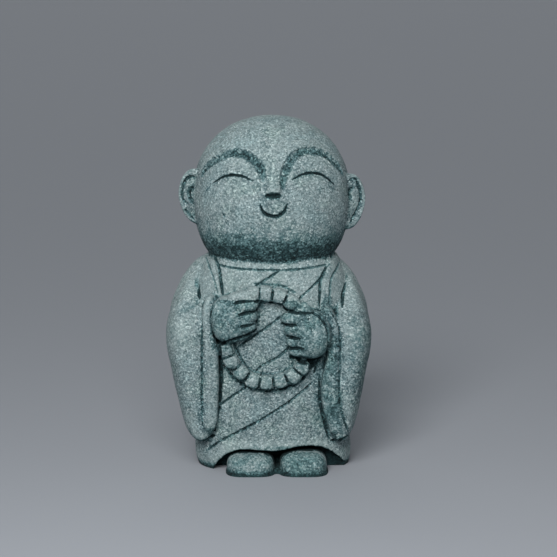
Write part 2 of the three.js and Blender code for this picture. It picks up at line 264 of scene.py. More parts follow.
# %% Inner robe
ROBE_SQUARE = 2.6
FOOT_DRAWN_IN, DRAWN_IN_UP_TO = 1.3, 22
ROBE_ROWS = [
    (-0.02, 0.985, 0.905),
    (0, 0.995, 0.91),
    (0.02, 1.01, 0.935),
    (0.17, 0.995, 0.945),
    (0.4, 0.99, 0.98),
    (0.66, 1, 1),
    (0.83, 0.955, 0.975),
    (0.915, 0.895, 0.94),
    (0.965, 0.835, 0.905),
    (1, 0.79, 0.865),
]
robe_rows = even_rows(ROBE_ROWS, ROBE_WIDTH / 2, ROBE_DEPTH / 2)
robe_rows[:, 1] += FOOT_DRAWN_IN * np.clip(1 - robe_rows[:, 0] / DRAWN_IN_UP_TO, 0, 1)
robe_block = Block(robe_rows, ROBE_SQUARE)
robe = column("robe", robe_block)

# %% [markdown]
# The outer robe lies one cloth thicker on the shoulders and back and hangs open over the chest. It
# could be the same column scaled up, but then its lower edge would stand off like a skirt. So it is
# a second column that thins out to nothing below the waist, and a piece is cut out of its front
# along the two lapels.

# %% Outer robe, open over the chest
mantle_ups = np.array([0.3, 0.35, 0.5, 0.66, 0.8, 0.915, 0.965, 1.0])
fade = np.clip((mantle_ups - 0.35) / 0.45, 0, 1)
thick = CLOTH * (2 * fade**2 * (3 - 2 * fade) - 1)
under = reach_at(robe_block, mantle_ups * COLLAR)
mantle_rows = np.column_stack([mantle_ups * COLLAR, (under + np.outer([-1, 1, -1, 1], thick)).T])
mantle_block = Block(mantle_rows, ROBE_SQUARE)
mantle = column("mantle", mantle_block)

LAPEL_EDGE = [(0.28, 0.6), (0.35, 0.6), (0.6, 0.6), (0.8, 0.61), (0.9, 0.65), (1.03, 0.75)]
opening_rows = np.array([
    [up * COLLAR, -u * ROBE_WIDTH / 2, u * ROBE_WIDTH / 2, -ROBE_DEPTH, 0] for up, u in LAPEL_EDGE
])
cut_with(mantle, column("opening", Block(opening_rows, 60), ring_step=1.5))

# %% [markdown]
# ## Shoulders and sleeves
# Shoulders and upper arms are one soft mass across the back of the neck. Each sleeve is a column
# of its own that leans out from the side of the robe and ends above the hem. The left and right
# sleeve share their levels, mirrored in the numbers, so no mesh has to be turned inside out.

# %% Shoulders
SHOULDER_ROWS = [
    (0.5, 0.94, 0.7),
    (0.58, 1, 0.9),
    (0.68, 1.03, 0.98),
    (0.775, 1, 1),
    (0.835, 0.95, 0.97),
    (0.913, 0.86, 0.9),
    (0.952, 0.795, 0.83),
    (0.985, 0.71, 0.72),
    (1.005, 0.62, 0.6),
]
SHOULDER_SHIFT = -0.9
shoulder_rows = even_rows(SHOULDER_ROWS, SHOULDER_WIDTH / 2, SHOULDER_DEPTH / 2)
shoulder_rows[:, 1:3] += SHOULDER_SHIFT
shoulder_block = Block(shoulder_rows, 2.3)
shoulders = column("shoulders", shoulder_block)

# %% Sleeves
SLEEVE_ROWS = [
    (0.145, -0.2, 0.79, 0.83, -0.3),
    (0.16, -0.02, 0.76, 0.88, -0.05),
    (0.19, 0.17, 0.715, 0.91, 0.12),
    (0.24, 0.34, 0.675, 0.94, 0.28),
    (0.35, 0.57, 0.645, 0.98, 0.42),
    (0.49, 0.82, 0.66, 1.01, 0.5),
    (0.61, 1, 0.685, 1.03, 0.54),
    (0.68, 0.97, 0.69, 1.02, 0.53),
    (0.735, 0.86, 0.7, 0.96, 0.5),
    (0.775, 0.74, 0.74, 0.87, 0.44),
    (0.81, 0.6, 0.79, 0.75, 0.36),
    (0.845, 0.44, 0.85, 0.61, 0.27),
    (0.88, 0.28, 0.9, 0.46, 0.18),
    (0.9, 0.18, 0.93, 0.38, 0.12),
]
SLEEVE_SPREAD = {-1: 8.7, 1: 7.6}
HALF_ROBE, HALF_DEPTH = ROBE_WIDTH / 2, ROBE_DEPTH / 2


def sleeve_rows(side):
    """Rows of height share, spread beyond the robe, inner edge, front and back, for one side."""
    rows = []
    for up, spread, inner, front, back in SLEEVE_ROWS:
        outer = side * (HALF_ROBE + spread * SLEEVE_SPREAD[side]) + SHOULDER_SHIFT / 2
        edges = (side * inner * HALF_ROBE, outer)
        rows.append([up * COLLAR, min(edges), max(edges), -front * HALF_DEPTH, back * HALF_DEPTH])
    return np.array(rows)


sleeve_blocks = {side: Block(sleeve_rows(side), 2.7) for side in (-1, 1)}
sleeves = [column("sleeve_left", sleeve_blocks[-1]), column("sleeve_right", sleeve_blocks[1])]

# %% [markdown]
# A broad turned edge runs round the mouth of each sleeve, from above the wrist to the tip that hangs
# beside the knee. It stands proud of the sleeve and drops steeply to the robe on its inner side. It
# is drawn as a flat rope: a cylinder whose rings follow a line of places with a width at each.

# %% A flat rope along places
def rope(name, stations, square=2.8, around=48):
    """Stations are x, y, z, width and thickness. The rope runs up or down the front of the figure."""
    marks = np.arange(len(stations), dtype=float)
    path = Block(np.column_stack([marks, np.array(stations)]), square)
    piece = ringed_cylinder(name, around, 100)
    unit = spots_of(piece)
    last = len(stations) - 1
    t = (unit[:, 2] + 1) / 2 * last
    x, y, z, wide, thick = reach_at(path, t)
    ahead_x, _, ahead_z, _, _ = reach_at(path, t + 0.05) - reach_at(path, t - 0.05)
    length = np.hypot(ahead_x, ahead_z)
    length = np.where(length > 1e-6, length, 1)
    end = np.minimum(1, 12.8 * np.minimum(t, last - t) / last + 0.35)
    across = boxy(unit[:, 0], square) * wide / 2 * end
    out = boxy(unit[:, 1], square) * thick / 2 * end
    aside_x, aside_z = across * ahead_z / length, -across * ahead_x / length
    move_spots(piece, np.column_stack([x + aside_x, y + out, z + aside_z]))
    return piece


# %% Turned edges of the sleeves
bands = [
    rope("band_left", [
        (-19.0, -19.6, 60.6, 2.6, 4.4), (-20.9, -20.3, 59.0, 3.0, 6), (-21.6, -20.3, 55, 3.2, 6.2),
        (-21.5, -20.2, 50.0, 3.5, 6.2), (-20.8, -20.1, 45.0, 4.6, 6.2), (-20.2, -19.9, 36.5, 5.2, 6.2),
        (-20.5, -19.4, 27, 5.2, 6), (-20.8, -18.9, 19.5, 5.2, 5.6), (-21.4, -18.2, 13.2, 4.8, 5),
    ]),
    rope("band_right", [
        (17.2, -21.2, 56.6, 2.6, 4.4), (19.2, -20.7, 55.4, 3.0, 6), (20.9, -20.1, 51.0, 3.4, 6),
        (21.3, -19.9, 45, 3.8, 6), (20.8, -19.8, 38.5, 4.6, 6), (19.8, -19.6, 32, 5.8, 6),
        (20.3, -19.2, 24, 6.2, 5.8), (21.9, -18.5, 18, 6.2, 5.4), (23.4, -17.7, 12.2, 6.0, 5),
    ]),
]
print(len(bands), "turned edges")

# %% [markdown]
# ## The hem
# The hem lifts in two low arches that meet in a shallow dip, with a hollow about a centimetre deep
# behind them. It could be drawn into the robe's rings, but they would have to be very close. So the
# opening is cut: a cylinder on its side has its rim drawn out to the line of the hem, and a boolean
# takes it out of the robe.

# %% The opening under the hem
HEM_RECESS = 10
HEM_LINE = [
    (-19.6, 0.5), (-18.2, 3.4), (-15.6, 6.0), (-12, 7.6), (-7, 8.1), (-2.5, 7.8), (1.6, 7.5),
    (5, 8.1), (9, 9.0), (13.5, 9.2), (17, 8.5), (20.5, 6.6), (23.4, 4.0), (25.6, 0.5),
]
hem_front = front_at(robe_block, 0, 0)
bpy.ops.object.select_all(action="DESELECT")
on_its_side = (math.pi / 2, 0, 0)
bpy.ops.mesh.primitive_cylinder_add(vertices=160, radius=1, depth=ROBE_DEPTH, rotation=on_its_side)
opening = bpy.context.object
bpy.ops.object.transform_apply(location=True, rotation=True, scale=True)
unit = spots_of(opening)
hem_x, hem_z = np.array(HEM_LINE).T
x = (hem_x[0] + hem_x[-1]) / 2 + unit[:, 0] * (hem_x[-1] - hem_x[0]) / 2
BELOW_FLOOR = -6
z = np.where(unit[:, 2] > -0.01, np.interp(x, hem_x, hem_z), BELOW_FLOOR)
move_spots(opening, np.column_stack([x, unit[:, 1] + hem_front + HEM_RECESS - ROBE_DEPTH / 2, z]))
cut_with(robe, opening)
print("robe with its hem has", len(robe.data.polygons), "faces")

# %% [markdown]
# ## The feet
# Two blunt feet look out from under the hem, side by side and a little apart. Each is a boxy loaf
# that reaches below the floor, so that the level cut leaves its widest outline on the ground. A
# thin web of stone is left under and between them, as in the casting.

# %% Feet and the web between them
FOOT_WIDTH, FOOT_LENGTH, FOOT_HEIGHT = 16.2, 19, 6.8
feet = []
for name, u, lift in (("foot_left", -0.26, 0), ("foot_right", 0.4, 0.5)):
    tall = (FOOT_HEIGHT + lift) * 1.44
    x, y = u * ROBE_WIDTH / 2, hem_front + FOOT_LENGTH * 0.16
    foot_size, web_size = (FOOT_WIDTH, FOOT_LENGTH, tall), (FOOT_WIDTH + 1.2, FOOT_LENGTH + 1.6, 4)
    feet.append(loaf(name, foot_size, (x, y, FOOT_HEIGHT + lift - tall / 2), square=2.9))
    feet.append(loaf(name + "_web", web_size, (x, y + 0.4, -0.8), square=3.5))
feet.append(loaf("web_between", (8, 14, 4.6), (2.0, hem_front + 4.5, -0.8), square=3))
print("feet reach forward to", round(hem_front + FOOT_LENGTH * (0.16 - 0.5), 1), "mm")

# %% [markdown]
# ## The head
# The head is a full-cheeked ball. A plain sphere is too thin at the jaw, so each ring of a sphere
# is moved out: the crown stays close to round, and the lower half gets squarer towards the chin.

# %% Head
bpy.ops.object.select_all(action="DESELECT")
bpy.ops.mesh.primitive_uv_sphere_add(segments=160, ring_count=96, radius=1)
head = bpy.context.object
head.name = "head"
unit = spots_of(head)
rise = unit[:, 2]
power = np.where(rise > 0, 2.15, 2.15 - 0.5 * rise)
ring = np.clip(1 - np.abs(rise) ** power, 0, 1) ** (1 / power)
flat = unit[:, :2] / np.maximum(np.linalg.norm(unit[:, :2], axis=1, keepdims=True), 1e-6)
flat = boxy(flat, 2.2) * ring[:, None]
across, along = flat[:, 0] * HEAD_WIDTH / 2, flat[:, 1] * HEAD_DEPTH / 2
move_spots(head, np.column_stack([across, along, HEAD_MIDDLE + rise * HEAD_HEIGHT / 2]))
print("head from", round(HEAD_MIDDLE - HEAD_HEIGHT / 2, 1), "to", HEIGHT, "mm")

# %% [markdown]
# ## The nose
# The nose grows out of the brow and ends in a flat underside. A sphere would give it a round tip,
# so it is a leaning cylinder: proud below with its flat end down, and lost in the brow above.

# %% Nose
NOSE_RADIUS = 2.7
nose_foot, nose_root = Vector((0.75, -24.4, 95.5)), Vector((0.75, -18.8, 106.8))
along = nose_root - nose_foot
bpy.ops.object.select_all(action="DESELECT")
bpy.ops.mesh.primitive_cylinder_add(vertices=64, radius=NOSE_RADIUS, depth=along.length)
nose = bpy.context.object
nose.name = "nose"
leaning = along.normalized().to_track_quat("Z", "Y").to_matrix().to_4x4()
nose.data.transform(Matrix.Translation((nose_foot + nose_root) / 2) @ leaning)
print("nose leans by", round(math.degrees(along.angle(Vector((0, 0, 1)))), 1), "degrees")

# %% [markdown]
# ## The ears
# Each ear is a thin shell turned a little forward, with a raised rim and a hollow. Carving the
# hollow out of a lump needs a second, smaller lump. Laying a ring on a flat loaf gives rim and
# hollow at once, so that is done, and the ring is stretched to the ear's outline. Both then narrow
# towards the lobe. The right ear sits two millimetres lower, as on the real figure.

# %% Ears
EAR_WIDTH, EAR_THICKNESS, EAR_HEIGHT, EAR_RIM = 12.4, 4.6, 18.4, 2.2
EAR_OUT, EAR_BACK, EAR_MIDDLE, EAR_LOWER = 26.0, -4.4, 92.0, 0.95
EAR_TURN, LOBE_NARROWS = math.radians(28.6), 0.1


def ear(name, side):
    """The ear narrows to its lobe, so its points are moved in as they go down."""
    middle = EAR_MIDDLE - side * EAR_LOWER
    turned = Matrix.Rotation(side * EAR_TURN, 4, "Z")
    at_side = Matrix.Translation((side * EAR_OUT + 0.2, EAR_BACK, middle)) @ turned
    shell = loaf(name, (EAR_WIDTH, EAR_THICKNESS, EAR_HEIGHT), (0, 0, 0))
    bpy.ops.object.select_all(action="DESELECT")
    bpy.ops.mesh.primitive_torus_add(
        major_radius=0.5, minor_radius=EAR_RIM / 2 / EAR_WIDTH, major_segments=72, minor_segments=24,
        rotation=(math.pi / 2, 0, 0),
    )
    rim = bpy.context.object
    rim.name = name + "_rim"
    bpy.ops.object.transform_apply(rotation=True)
    stretched = Matrix.Diagonal((EAR_WIDTH - EAR_RIM, EAR_WIDTH, EAR_HEIGHT - EAR_RIM, 1))
    rim.data.transform(Matrix.Translation((0, -EAR_THICKNESS / 4, 0)) @ stretched)
    for piece in (shell, rim):
        piece.data.transform(at_side)
        spots = spots_of(piece)
        spots[:, 0] += side * LOBE_NARROWS * np.minimum(0, spots[:, 2] - middle)
        move_spots(piece, spots)
    return [shell, rim]


ears = ear("ear_left", -1) + ear("ear_right", 1)
print(len(ears), "parts of ears")

# %% [markdown]
# ## The hands
# Both hands are mittens with the fingers laid one above the other. The hand on the left of the
# picture shows three fingers and the thumb on top; the other shows four and the tip of a thumb.
# A hand is a loaf for its back and boxier bars for the fingers, which melt together later.

# %% Hands
hands = [
    loaf("hand_left", (14.4, 12.4, 15.8), (-13.2, -22.0, 53.6), 2.8, (0, -10, 0)),
    loaf("thumb_left", (10.4, 5.6, 3.8), (-9.6, -24.6, 61.6), 2.2, (0, -6, 0)),
    loaf("hand_right", (13.6, 12.6, 16.4), (13.3, -22.6, 48.3), 2.2),
    loaf("thumb_right", (6.4, 5.4, 8.4), (10.9, -24.6, 55.6), 1.5),
]
for i, (x, z) in enumerate(((-8.6, 58.6), (-8.9, 54.6), (-9.4, 51.2))):
    hands.append(loaf(f"finger_left_{i}", (8.8, 7.8, 4.4), (x, -24.2, z), 2.7, (0, -10, 0)))
RIGHT_FINGERS = [(54.0, 4.4, 3.2), (50.0, 4.8, 4.3), (46.0, 4.4, 5.2), (42.9, 4.0, 5.9)]
for i, (z, wide, start) in enumerate(RIGHT_FINGERS):
    middle = (start + 4.6, -23.6, z)
    hands.append(loaf(f"finger_right_{i}", (9.6, 6.6, wide), middle, 2.5, (0, 0, -14)))
print(len(hands), "parts of hands")

# %% [markdown]
# ## The beads
# The ring of prayer beads lies on the robe. The beads are short and blocky, with dark gaps between.
# One bead is modelled and copied along the ring, each copy with its own mesh, turned to lie along
# the line of its neighbours. A hand never makes two beads the same, so each copy also leans, grows
# and drifts a little, by numbers that a seeded draw gives alike on every run.

# %% One bead, copied along the two strands
BEAD_SIZE = (5.1, 5.2, 5.3)
LOWER_STRAND = [
    (-15.3, 42.9), (-13.4, 38.9), (-10.2, 35.2), (-6.2, 32.7), (-1.6, 31.9), (3.1, 32.4),
    (7.3, 34.2), (10.3, 37.4),
]
UPPER_STRAND = [(-5.9, 62.2), (-1.9, 62.0), (2.6, 61.6), (6.7, 59.5)]
bead = loaf("bead", BEAD_SIZE, (0, 0, 0), 3.0, rings=24)
hand = np.random.default_rng(7)
beads = []
for strand, proud in ((LOWER_STRAND, 1.2), (UPPER_STRAND, 1.8)):
    along = np.gradient(np.array(strand), axis=0)
    for (x, z), (dx, dz) in zip(strand, along):
        spot = Vector((x, front_at(robe_block, x, z) - proud, z))
        slope = (front_at(robe_block, x + 1, z) - front_at(robe_block, x - 1, z)) / 2
        copy = bead.copy()
        copy.data = bead.data.copy()
        bpy.context.scene.collection.objects.link(copy)
        grow, lean, drift = hand.uniform(-1, 1, 3)
        turn = math.atan2(dz, dx) + 0.1 * lean
        spot += Vector((0, 0.4 * grow, 0.3 * drift))
        laid = Matrix.Rotation(slope, 4, "Z") @ Matrix.Rotation(-turn, 4, "Y")
        rounder = Matrix.Diagonal((1, 1, 1 + 0.07 * grow, 1))
        copy.data.transform(Matrix.Translation(spot) @ laid @ rounder)
        beads.append(copy)
bpy.data.objects.remove(bead)
print(len(beads), "beads")

# %% [markdown]
# ## One skin over all the blocks
# The real statue is one casting, so no seam shows where a hand meets the robe. Joining the blocks
# with booleans would leave hard seams. A voxel remesh lays one skin over everything instead, and a
# little smoothing then softens each meeting as a mould does. Its voxels are about as big as one
# grain of the stone. Where two blocks just miss each other inside, the remesh can leave a speck,
# so everything that doesn't hang together with the crown is taken away.

# %% Join all the blocks
blocks = [robe, mantle, shoulders, *sleeves, *bands, *feet, head, nose, *ears, *hands, *beads]
bpy.ops.object.select_all(action="DESELECT")
for block in blocks:
    block.select_set(True)
bpy.context.view_layer.objects.active = robe
bpy.ops.object.join()
statue = bpy.context.object
statue.name = "statue"
print("statue joined from", len(blocks), "blocks")

# %% One skin, softened
VOXEL = 0.45
finish_with(statue, "REMESH", mode="VOXEL", voxel_size=VOXEL, adaptivity=0)
finish_with(statue, "SMOOTH", factor=0.5, iterations=3)

# %% Keep only what hangs together with the crown
only(statue)
bpy.ops.object.mode_set(mode="EDIT")
bpy.ops.mesh.select_mode(type="VERT")
bpy.ops.mesh.select_all(action="DESELECT")
edit = bmesh.from_edit_mesh(statue.data)
max(edit.verts, key=lambda v: v.co.z).select_set(True)
bmesh.update_edit_mesh(statue.data)
bpy.ops.mesh.select_linked()
bpy.ops.mesh.select_all(action="INVERT")
bpy.ops.mesh.delete(type="VERT")
bpy.ops.object.mode_set(mode="OBJECT")
print("one skin of", len(statue.data.vertices), "points")

# %% [markdown]
# ## Laying the cut lines on the stone
# Folds, brows, eyes, mouth and finger lines are cut into the finished skin. Each line is a few
# places seen from the front, a smooth curve through them, and that curve dropped onto the stone
# from the front. Where a hand or a bead stands in front of the cloth, the line stops. A line is
# then a list of spots with a half width and a depth at each, which fade towards its ends. Each
# also says how dark it is filled, from 0 to about 1: in most lines that is the dark wash, and in
# the lines under the fists, the beads and the nose and in the sleeves' slots it is painted shade.

# %% A smooth curve through a few places
STEP = 0.2
cuts = []
skin = BVHTree.FromObject(statue, bpy.context.evaluated_depsgraph_get())


def smooth_line(places):
    """A curve through the places with a spot every fifth of a millimetre."""
    knots = np.array(places, dtype=float)
    knots = np.vstack([2 * knots[0] - knots[1], knots, 2 * knots[-1] - knots[-2]])
    spots = []
    for a, b, c, d in zip(knots, knots[1:], knots[2:], knots[3:]):
        count = max(2, int(np.linalg.norm(c - b) / STEP))
        for t in np.arange(count) / count:
            bend, twist = 2 * a - 5 * b + 4 * c - d, 3 * b - a - 3 * c + d
            spots.append(0.5 * (2 * b + (c - a) * t + bend * t**2 + twist * t**3))
    return np.array(spots + [knots[-2]])


# %% A line dropped onto the stone
def cut_line(places, wide, deep, ends=(0.15, 0.15), on=None, proud=1.9, sharp=1.0, wash_and_painted_shade=1.0):
    """Adds a line to cut. Ends are the shares of its length in which it fades.

    It stops where something stands more than proud in front of the block it is on. Sharp 1 is a
    groove like a V, and 2 is like a U."""
    line = smooth_line(places)
    for i, (x, z) in enumerate(line):
        spot = skin.ray_cast(Vector((x, -60, z)), Vector((0, 1, 0)))[0]
        if spot is None or (on and spot.y < front_at(on, x, z) - proud):
            continue
        t = i / (len(line) - 1)
        fade = min(1, t / ends[0] if ends[0] else 1, (1 - t) / ends[1] if ends[1] else 1)
        fade = max(fade, 0.02) ** 0.6
        cuts.append((*spot, wide / 2 * (0.35 + 0.65 * fade), deep * fade, sharp, wash_and_painted_shade))


# %% [markdown]
# ## The face
# It is a doll's face: two wide brow arches cut as broad shallow bands, two thin closed eyes, a short
# U for the mouth and a shallow line under the flat end of the nose, filled dark as the nose's painted
# shadow. A short scratch beside one eye and a pit in one cheek are wear, and they are kept. The lines
# could be modelled as thin solids and cut with booleans, but a line that only moves the skin inwards
# keeps a soft, worn edge.

# %% Lines of the face
BROW_LEFT = [
    (-23.4, 100.6), (-22.0, 103.4), (-18.5, 106.4), (-12.8, 108.9), (-8.1, 108.3), (-4.7, 105.7),
    (-3.2, 102.8), (-2.7, 100.4),
]
BROW_RIGHT = [
    (3.7, 98.0), (4.4, 102.4), (5.9, 106.0), (8.7, 108.8), (13.4, 109.6), (18.2, 107.8),
    (22.4, 103.7), (24.0, 100.8),
]
EYE_LEFT = [(-19.2, 98.9), (-16.4, 100.8), (-13.0, 101.8), (-9.4, 101.5), (-6.2, 100.1)]
EYE_RIGHT = [(7.0, 100.5), (10.5, 102.1), (13.9, 102.4), (17.6, 101.2), (20.8, 98.3)]
MOUTH = [(-3.6, 92.2), (-2.8, 90.2), (-1.2, 88.9), (0.9, 88.4), (2.9, 88.8), (4.4, 90.3), (5.2, 92.4)]
for brow in (BROW_LEFT, BROW_RIGHT):
    cut_line(brow, 3.1, 1.0, (0.12, 0.12), sharp=2, wash_and_painted_shade=0.55)
for eye in (EYE_LEFT, EYE_RIGHT):
    cut_line(eye, 1.05, 0.9, (0.45, 0.45), wash_and_painted_shade=1.2)
cut_line(MOUTH, 1.25, 1.0, (0.35, 0.35), wash_and_painted_shade=1.15)
# The dark in this line under the nose is painted shadow of the nose.
UNDER_NOSE = [(-1.9, 95.3), (0.6, 95.1), (3.0, 95.3)]
cut_line(UNDER_NOSE, 1.9, 0.5, (0.1, 0.1), wash_and_painted_shade=1.1)
BY_THE_EYE = [(-21.8, 96.0), (-21.0, 97.0), (-20.3, 97.7)]
cut_line(BY_THE_EYE, 0.8, 0.2, (0.5, 0.5), wash_and_painted_shade=0.5)
PIT_IN_CHEEK = [(-16.2, 88.9), (-15.7, 88.2), (-15.6, 87.6)]
cut_line(PIT_IN_CHEEK, 0.8, 0.3, (0.5, 0.5), wash_and_painted_shade=0.6)
print(len(cuts), "spots on the face's lines")

# %% [markdown]
# ## The ears' folds
# Inside the rim of each ear runs a narrow groove, and in the middle a small hollow. They are cut
# with the same lines as the face, the groove narrow and the hollow wide and deep.

# %% Lines of the ears
RIM_LEFT = [
    (-25.9, 99.5), (-27.9, 99.5), (-29.3, 98.3), (-30.0, 96.7), (-30.4, 94.4), (-30.3, 92.4),
    (-29.6, 91.0), (-28.3, 90.3),
]
LOBE_LEFT = [(-29.6, 88.6), (-28.2, 86.8), (-26.2, 84.9)]
HOLLOW_LEFT = [(-26.4, 96.2), (-27.7, 95.2), (-28.1, 93.6), (-27.6, 92.1), (-26.6, 90.8)]
RIM_RIGHT = [
    (25.7, 97.5), (26.8, 98.7), (28.2, 98.9), (29.2, 97.6), (29.8, 95.6), (30.3, 93.0),
    (30.1, 90.7), (29.4, 88.7), (28.3, 86.7), (27.3, 85.0), (26.5, 83.5),
]
HOLLOW_RIGHT = [(28.0, 95.8), (26.8, 95.2), (26.4, 94.1), (26.8, 92.4), (27.1, 91.7)]
EAR_LINES = (
    (RIM_LEFT, 1.02, 0.8),
    (LOBE_LEFT, 0.765, 0.35),
    (HOLLOW_LEFT, 1.87, 1.1),
    (RIM_RIGHT, 1.02, 0.8),
    (HOLLOW_RIGHT, 1.7, 1.2),
)
for places, wide, deep in EAR_LINES:
    cut_line(places, wide, deep, (0.1, 0.1), wash_and_painted_shade=0.62)
print(len(cuts), "spots with the ears' lines")

# %% [markdown]
# ## The folds, the lapels and the collar
# The crossed cloth shows as thin dark lines that run down from the right of the picture to the
# left. A narrow band goes round the neck. Each lapel has an edge and a stitched line beside it. Real
# overlapping sheets would need undercuts that no mould could let go of, so the folds are grooves.

# %% Lines of the folds and the collar
FOLDS = [
    [(3.2, 69.8), (-1.1, 67.1), (-5.1, 64.7), (-8.5, 63.2)],
    [(18.2, 68.2), (15.0, 65.0), (9.3, 60.0), (5.6, 56.4), (-0.5, 51.3), (-5.8, 47.6), (-11.6, 43.4)],
    [(7.0, 44.6), (5.6, 43.4), (2.2, 40.4), (-4.2, 36.6), (-7.9, 30.7), (-13.3, 26.5), (-18.4, 22.6)],
    [(13.9, 31.3), (6.3, 25.1), (-3.2, 18.8), (-10.7, 14.5), (-17.5, 10.4), (-22.4, 6.2)],
]
for fold in FOLDS:
    cut_line(fold, 0.95, 0.7, (0.03, 0.06), on=robe_block, wash_and_painted_shade=0.66)
COLLAR_EDGE = [(-18.6, 70.8), (-13.9, 70.2), (-7.2, 69.8), (2.2, 69.6), (10.3, 69.9), (18.7, 70.6)]
cut_line(COLLAR_EDGE, 0.95, 0.5, (0.02, 0.02), on=robe_block, wash_and_painted_shade=0.6)
FOLD_IN_THE_RING = [(-13.2, 46.4), (-10.7, 40.9), (-7.6, 36.4), (-4.8, 35.0)]
cut_line(FOLD_IN_THE_RING, 0.9, 0.5, (0.05, 0.2), on=robe_block, wash_and_painted_shade=0.7)

# %% Lines of the lapels
LAPEL_LEFT = [(-19.4, 73.3), (-17.6, 69.5), (-16.9, 65.1), (-16.2, 60.6)]
cut_line(LAPEL_LEFT, 1.1, 0.7, (0.02, 0.1), on=robe_block, wash_and_painted_shade=0.75)
STITCHES_LEFT = [(-22.8, 72.8), (-20.9, 69.5), (-19.2, 65.5), (-18.0, 61.6)]
cut_line(STITCHES_LEFT, 0.9, 0.5, (0.05, 0.5), on=mantle_block, wash_and_painted_shade=0.5)
LAPEL_RIGHT = [(20.7, 73.0), (16.8, 66.7), (16.2, 61.0), (16.1, 56.6)]
cut_line(LAPEL_RIGHT, 1.1, 0.8, (0.02, 0.1), on=robe_block, wash_and_painted_shade=0.75)
STITCHES_RIGHT = [(23.6, 71.0), (20.3, 66.3), (19.5, 61.0), (19.5, 57.0)]
cut_line(STITCHES_RIGHT, 0.9, 0.5, (0.1, 0.1), on=mantle_block, wash_and_painted_shade=0.6)
print(len(cuts), "spots with the lapels")

# %% [markdown]
# ## The sleeves' seams and creases
# A fine seam runs down each turned edge, a deep slot parts it from the robe, and a short line
# closes it at its tip. The slot is filled dark as painted shade of the recess. Where the arm bends,
# the cloth has a short upright crease and a soft dent across the arm. The dents are wide shallow
# lines that hold little wash.

# %% Lines of the sleeves' edges
LEFT_RECESS = [
    (-19.6, 58.6), (-20.2, 55.8), (-20.3, 53.1), (-19.8, 50.2), (-18.8, 47.2), (-17.8, 44.8),
    (-17.3, 41.9), (-17.2, 37.1), (-17.2, 32.9), (-17.6, 25.9), (-18.3, 18.2), (-19.4, 13.8),
]
RIGHT_RECESS = [
    (13.3, 56.3), (15.7, 55.1), (17.7, 52.9), (18.8, 50.0), (19.1, 46.5), (18.6, 43.1),
    (16.7, 40.6), (15.4, 37.9), (14.5, 34.6),
]
SEAM_LEFT = [
    (-22.4, 59.4), (-23.1, 56.0), (-23.3, 46.7), (-23.4, 32.8), (-23.5, 21.0), (-23.2, 15.5),
]
cut_line(SEAM_LEFT, 0.9, 0.5, (0.06, 0.25), wash_and_painted_shade=0.6)
SEAM_RIGHT = [
    (19.6, 56.4), (21.8, 53.0), (22.9, 49.0), (23.1, 39.9), (22.8, 27.4), (24.2, 19.9),
    (26.2, 13.6),
]
cut_line(SEAM_RIGHT, 0.9, 0.5, (0.06, 0.05), wash_and_painted_shade=0.65)
# The slots between the turned edges and the robe are filled dark as painted shade.
cut_line(LEFT_RECESS[:6], 1.5, 1.5, (0.05, 0), wash_and_painted_shade=0.85)
cut_line(LEFT_RECESS[4:], 1.7, 1.7, (0.1, 0.3), wash_and_painted_shade=0.9)
cut_line(RIGHT_RECESS, 1.5, 1.3, (0.03, 0.3), wash_and_painted_shade=0.85)
BAND_EDGE_RIGHT = [(16.2, 34.0), (16.3, 27.5), (17.0, 21.6), (19.6, 11.0)]
cut_line(BAND_EDGE_RIGHT, 1.3, 0.7, (0.2, 0.06), wash_and_painted_shade=0.8)
TIP_LEFT = [(-23.2, 10.6), (-20.9, 11.6), (-19.2, 12.2)]
cut_line(TIP_LEFT, 1.4, 0.8, (0.2, 0.2))
TIP_RIGHT = [(20.2, 10.3), (22.8, 10.6), (26.0, 12.4)]
cut_line(TIP_RIGHT, 1.4, 0.8, (0.2, 0.2))

# %% Creases at the elbows
ELBOW_LEFT = [(-24.6, 63.0), (-24.5, 60.8), (-24.3, 59.0)]
cut_line(ELBOW_LEFT, 1.3, 1.0, (0.5, 0.3), wash_and_painted_shade=0.85)
ELBOW_RIGHT = [(25.2, 63.8), (24.2, 60.6), (23.8, 56.6)]
cut_line(ELBOW_RIGHT, 1.3, 1.0, (0.5, 0.2), wash_and_painted_shade=0.85)
CREASE_LEFT = [(-24.4, 59.2), (-28.2, 56.6), (-32.0, 54.8)]
cut_line(CREASE_LEFT, 3.2, 0.7, (0.1, 0.6), sharp=2, wash_and_painted_shade=0.25)
CREASE_RIGHT = [(23.9, 55.8), (27.1, 54.0), (32.5, 53.4)]
cut_line(CREASE_RIGHT, 2.6, 0.5, (0.1, 0.5), sharp=2, wash_and_painted_shade=0.1)
print(len(cuts), "spots with the sleeves")

# %% [markdown]
# ## Round the fists and beads
# Under each fist and behind the last bead a groove is filled dark as painted shadow, where the fist
# or bead shades the robe. Wash stays in the gap between two beads and along the inner side of the
# ring, and the line along its outer side is painted shadow. The bead lines are worked out from the
# places of the beads, so they follow if one moves.

# %% Painted shadow under the fists and behind the last bead
UNDER_LEFT_FIST = [(-17.8, 44.9), (-15.6, 45.8), (-13.3, 46.8), (-8.8, 48.2), (-5.3, 49.8)]
cut_line(UNDER_LEFT_FIST, 2.2, 1.3, (0.1, 0.1), wash_and_painted_shade=1.1)
UNDER_RIGHT_FIST = [(6.1, 40.7), (8.6, 39.7), (12.3, 39.1), (15.4, 39.8)]
cut_line(UNDER_RIGHT_FIST, 2.0, 1.2, (0.1, 0.1), wash_and_painted_shade=1.1)
BEHIND_LAST_BEAD = [(12.8, 37.5), (14.2, 37.2), (15.2, 38.0)]
cut_line(BEHIND_LAST_BEAD, 3.4, 1.8, (0.3, 0.3), wash_and_painted_shade=1.1)

